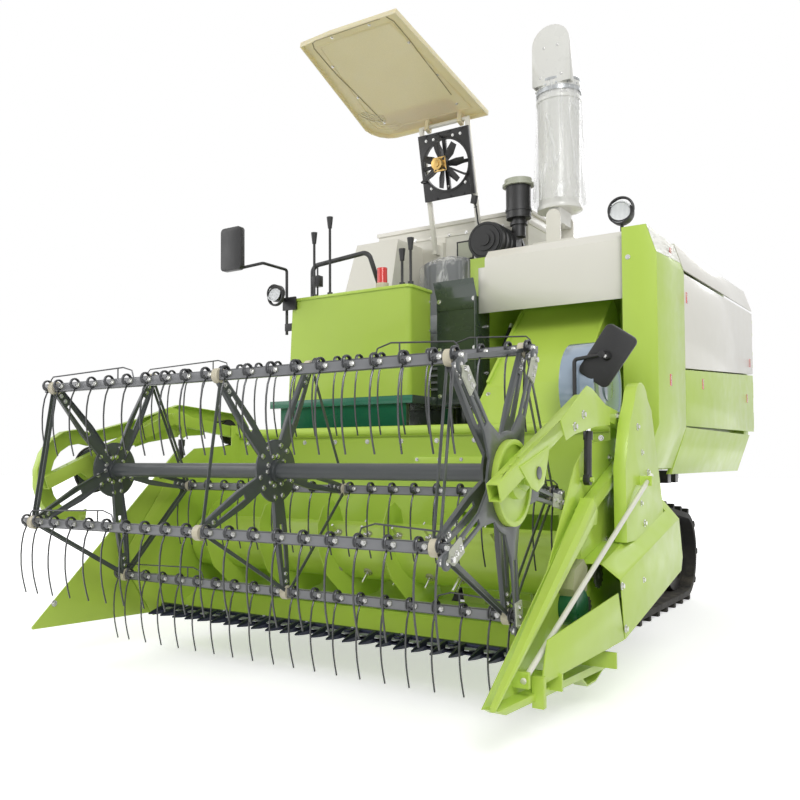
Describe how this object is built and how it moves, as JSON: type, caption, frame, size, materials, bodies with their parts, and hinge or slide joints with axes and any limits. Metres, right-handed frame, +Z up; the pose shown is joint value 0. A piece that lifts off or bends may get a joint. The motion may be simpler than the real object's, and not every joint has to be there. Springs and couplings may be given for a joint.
{
  "type": "rubber track combine harvester",
  "caption": "Rubber track combine harvester with a spring-tine reel, auger header, feeder house, thresher, grain tank, open operator station and fold-up unloading tube.",
  "frame": {"origin": "on the ground under the middle of the machine's box", "axes": "+X towards the machine's left side, -Y forward towards the reel, +Z up"},
  "size_m": [2.203, 4.3223, 3.356],
  "materials": {
    "lime_paint": "gloss lime paint on folded sheet",
    "cream_paint": "gloss cream paint on sheet",
    "dark_green_paint": "gloss dark green grey paint",
    "black_paint": "satin black paint",
    "reel_grey": "satin dark grey paint",
    "bat_grey": "grey-blue bars with black tines",
    "guard_blue_black": "blue-black forged guards",
    "hood_blue": "smooth blue-grey hood",
    "track_rubber": "black track rubber",
    "cylinder_black": "satin black cylinder",
    "chrome_rod": "hard chromed rod",
    "canopy_beige": "moulded beige canopy",
    "black_plastic": "moulded black plastic",
    "fan_black": "moulded black fan",
    "seat_grey": "grey seat vinyl",
    "lamp_glass": "clear lamp glass in a black rim",
    "red_plastic": "red cap on a cream base",
    "cast_grey": "grey casting",
    "cast_tan": "tan primed gearbox casting with a green drum",
    "motor_brass": "yellow passivated motor with a black back",
    "cream_tube": "cream painted tube"
  },
  "bodies": {
    "machine": {"track_left": "track_rubber", "track_right": "track_rubber", "track_wheels": "black_paint", "chassis_frame": "black_paint", "thresher_body": "lime_paint", "roof_cover": "cream_paint", "corner_column": "lime_paint", "side_skirt": "lime_paint", "side_drives": "cast_grey", "straw_hood": "lime_paint", "grain_tank": "cream_paint", "engine_block": "cast_grey", "engine_cover": "dark_green_paint", "radiator_housing": "cream_paint", "operator_deck": "dark_green_paint", "console": "lime_paint", "side_shield": "dark_green_paint", "seat": "seat_grey", "control_levers": "black_plastic", "beacon": "red_plastic", "handrail": "black_paint", "air_intake": "black_plastic", "canopy_posts": "cream_paint", "fan_panel": "fan_black", "fan_motor": "motor_brass", "unload_base": "cream_paint", "work_lamps": "lamp_glass", "mirror_right": "black_plastic"},
    "door_upper": {"door_upper": "cream_paint"},
    "door_lower": {"door_lower": "lime_paint"},
    "tank_lid": {"tank_lid": "cream_paint"},
    "canopy": {"canopy": "canopy_beige"},
    "fan_rotor": {"fan_rotor": "fan_black"},
    "unload_tube": {"unload_tube": "cream_tube"},
    "header": {"header_pan": "lime_paint", "cutter_bar": "guard_blue_black", "dividers": "lime_paint", "feeder_house": "lime_paint", "feeder_hood": "hood_blue", "drive_shields": "lime_paint", "divider_rod": "cream_paint", "gear_drive": "cast_tan", "mirror_left": "black_plastic"},
    "auger": {"auger": "lime_paint"},
    "reel_arms": {"reel_arms": "lime_paint", "belt_drive": "track_rubber", "belt_guard": "lime_paint"},
    "reel": {"reel_spiders": "reel_grey"},
    "eccentric": {"reel_eccentric": "reel_grey"},
    "reel_barrels": {"reel_cylinder_barrels": "cylinder_black"},
    "reel_rods": {"reel_cylinder_rods": "chrome_rod"},
    "ram_barrel": {"header_ram_barrel": "cylinder_black"},
    "ram_rod": {"header_ram_rod": "chrome_rod"},
    "bat_1": {"reel_bat_1": "bat_grey"},
    "bat_2": {"reel_bat_2": "bat_grey"},
    "bat_3": {"reel_bat_3": "bat_grey"},
    "bat_4": {"reel_bat_4": "bat_grey"},
    "bat_5": {"reel_bat_5": "bat_grey"}
  },
  "joints": [
    {"name": "header_lift", "type": "hinge", "parent": "machine", "child": "header", "pos_m": [-0.0305, 0.19817, 1.45], "axis": [-1, 0, 0], "range_deg": [0, 14]},
    {"name": "reel_lift", "type": "hinge", "parent": "header", "child": "reel_arms", "pos_m": [-0.0305, -0.72183, 1.02], "axis": [-1, 0, 0], "range_deg": [0, 16]},
    {"name": "reel_spin", "type": "hinge", "parent": "reel_arms", "child": "reel", "pos_m": [-0.0305, -1.65183, 0.83], "axis": [1, 0, 0], "continuous": true},
    {"name": "bat_turn_1", "type": "hinge", "parent": "reel", "child": "bat_1", "pos_m": [-0.0305, -2.07517, 0.62353], "axis": [1, 0, 0], "continuous": true},
    {"name": "bat_turn_2", "type": "hinge", "parent": "reel", "child": "bat_2", "pos_m": [-0.0305, -1.97902, 1.16881], "axis": [1, 0, 0], "continuous": true},
    {"name": "bat_turn_3", "type": "hinge", "parent": "reel", "child": "bat_3", "pos_m": [-0.0305, -1.43071, 1.24587], "axis": [1, 0, 0], "continuous": true},
    {"name": "bat_turn_4", "type": "hinge", "parent": "reel", "child": "bat_4", "pos_m": [-0.0305, -1.18799, 0.74821], "axis": [1, 0, 0], "continuous": true},
    {"name": "bat_turn_5", "type": "hinge", "parent": "reel", "child": "bat_5", "pos_m": [-0.0305, -1.58628, 0.36358], "axis": [1, 0, 0], "continuous": true},
    {"name": "eccentric_spin", "type": "hinge", "parent": "reel_arms", "child": "eccentric", "pos_m": [-0.0305, -1.71383, 0.8], "axis": [1, 0, 0], "continuous": true},
    {"name": "auger_spin", "type": "hinge", "parent": "header", "child": "auger", "pos_m": [-0.0305, -0.94683, 0.47], "axis": [1, 0, 0], "continuous": true},
    {"name": "fan_spin", "type": "hinge", "parent": "machine", "child": "fan_rotor", "pos_m": [-0.4055, 0.56406, 2.69], "axis": [0, -0.9739, -0.2268], "continuous": true},
    {"name": "canopy_tilt", "type": "hinge", "parent": "machine", "child": "canopy", "pos_m": [-0.0305, 0.50817, 2.93], "axis": [1, 0, 0], "range_deg": [-15, 14]},
    {"name": "unload_fold", "type": "hinge", "parent": "machine", "child": "unload_tube", "pos_m": [0.2595, 0.64817, 2.25605], "axis": [0, 1, 0], "range_deg": [0, 90]},
    {"name": "door_upper_hinge", "type": "hinge", "parent": "machine", "child": "door_upper", "pos_m": [0.9975, 2.15017, 1.6], "axis": [0, 0, 1], "range_deg": [0, 110]},
    {"name": "door_lower_hinge", "type": "hinge", "parent": "machine", "child": "door_lower", "pos_m": [0.9975, 2.15017, 1.2], "axis": [0, 0, 1], "range_deg": [0, 110]},
    {"name": "tank_lid_hinge", "type": "hinge", "parent": "machine", "child": "tank_lid", "pos_m": [-0.0305, 1.84217, 2.384], "axis": [-1, 0, 0], "range_deg": [0, 100]},
    {"name": "ram_pivot", "type": "hinge", "parent": "machine", "child": "ram_barrel", "pos_m": [0.2895, 0.14817, 0.38], "axis": [-1, 0, 0], "range_deg": [-5, 5]},
    {"name": "ram_slide", "type": "slide", "parent": "ram_barrel", "child": "ram_rod", "axis": [0, -0.9191, 0.3939], "range_m": [0, 0.26]},
    {"name": "reel_cylinder_pivot", "type": "hinge", "parent": "header", "child": "reel_barrels", "pos_m": [-0.0305, -1.12383, 0.8], "axis": [-1, 0, 0], "range_deg": [-5, 5]},
    {"name": "reel_cylinder_slide", "type": "slide", "parent": "reel_barrels", "child": "reel_rods", "axis": [0, 0.0584, 0.9983], "range_m": [0, 0.13]}
  ],
  "couplings": [
    {"joint": "bat_turn_1", "follows": "reel_spin", "ratio": -1},
    {"joint": "bat_turn_2", "follows": "reel_spin", "ratio": -1},
    {"joint": "bat_turn_3", "follows": "reel_spin", "ratio": -1},
    {"joint": "bat_turn_4", "follows": "reel_spin", "ratio": -1},
    {"joint": "bat_turn_5", "follows": "reel_spin", "ratio": -1},
    {"joint": "eccentric_spin", "follows": "reel_spin", "ratio": 1},
    {"joint": "ram_pivot", "follows": "header_lift", "ratio": 0.20382},
    {"joint": "ram_slide", "follows": "header_lift", "m_per_rad": 0.99576},
    {"joint": "reel_cylinder_pivot", "follows": "reel_lift", "ratio": 0.052918},
    {"joint": "reel_cylinder_slide", "follows": "reel_lift", "m_per_rad": 0.38879}
  ]
}
